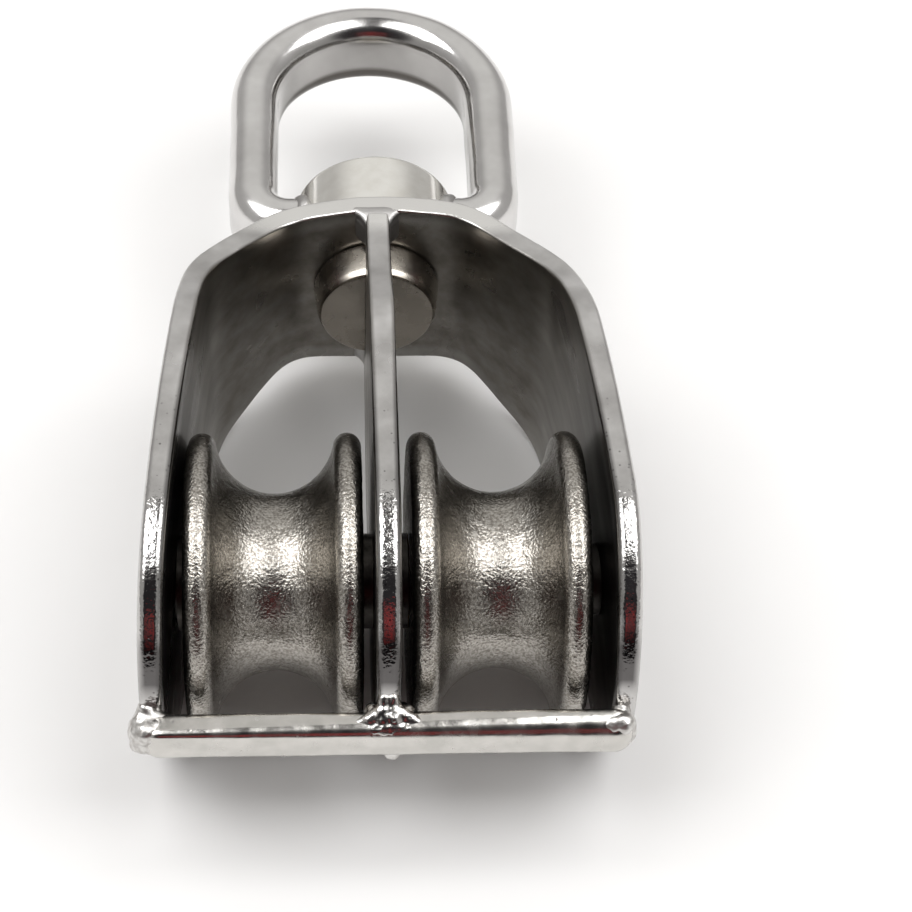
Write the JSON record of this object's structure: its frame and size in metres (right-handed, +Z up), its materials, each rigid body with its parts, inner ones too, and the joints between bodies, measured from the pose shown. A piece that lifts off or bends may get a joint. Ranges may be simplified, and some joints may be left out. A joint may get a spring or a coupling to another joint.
{
  "type": "double sheave block",
  "caption": "Small steel block with side-by-side sheaves in a bent strap, a middle plate, a welded tie bar and a swivelling closed eye.",
  "frame": {"origin": "on the plane the block lies on, under the middle of its overall width and length", "axes": "+X along the axle, +Y from the tie bar towards the eye, +Z up across the plates"},
  "size_m": [0.042, 0.0872, 0.028],
  "materials": {
    "polished_plate": "polished, edges satin",
    "ground_bar": "ground face, rounded edges",
    "turned_steel": "turned and lightly polished",
    "cast_sheave": "tumbled casting skin",
    "bush_bronze": "sintered",
    "polished_eye": "polished",
    "weld_bead": "polished over, lumpy"
  },
  "bodies": {
    "frame": {"strap": "polished_plate", "middle_plate": "polished_plate", "tie_bar": "ground_bar", "axle": "turned_steel", "left_outer_washer": "turned_steel", "left_inner_washer": "turned_steel", "right_inner_washer": "turned_steel", "right_outer_washer": "turned_steel", "left_bar_weld": "weld_bead", "middle_bar_weld": "weld_bead", "right_bar_weld": "weld_bead", "middle_plate_welds": "weld_bead"},
    "left_wheel": {"left_sheave": "cast_sheave", "left_bush": "bush_bronze"},
    "right_wheel": {"right_sheave": "cast_sheave", "right_bush": "bush_bronze"},
    "eye": {"swivel_pin": "turned_steel", "swivel_hub": "turned_steel", "eye_bail": "polished_eye", "left_eye_weld": "weld_bead", "right_eye_weld": "weld_bead"}
  },
  "joints": [
    {"name": "left_sheave_spin", "type": "hinge", "parent": "frame", "child": "left_wheel", "pos_m": [-0.00915, -0.0272, 0.014], "axis": [1, 0, 0], "continuous": true},
    {"name": "right_sheave_spin", "type": "hinge", "parent": "frame", "child": "right_wheel", "pos_m": [0.00915, -0.0272, 0.014], "axis": [1, 0, 0], "continuous": true},
    {"name": "eye_swivel", "type": "hinge", "parent": "frame", "child": "eye", "pos_m": [0, 0.0091, 0.014], "axis": [0, 1, 0], "continuous": true}
  ]
}
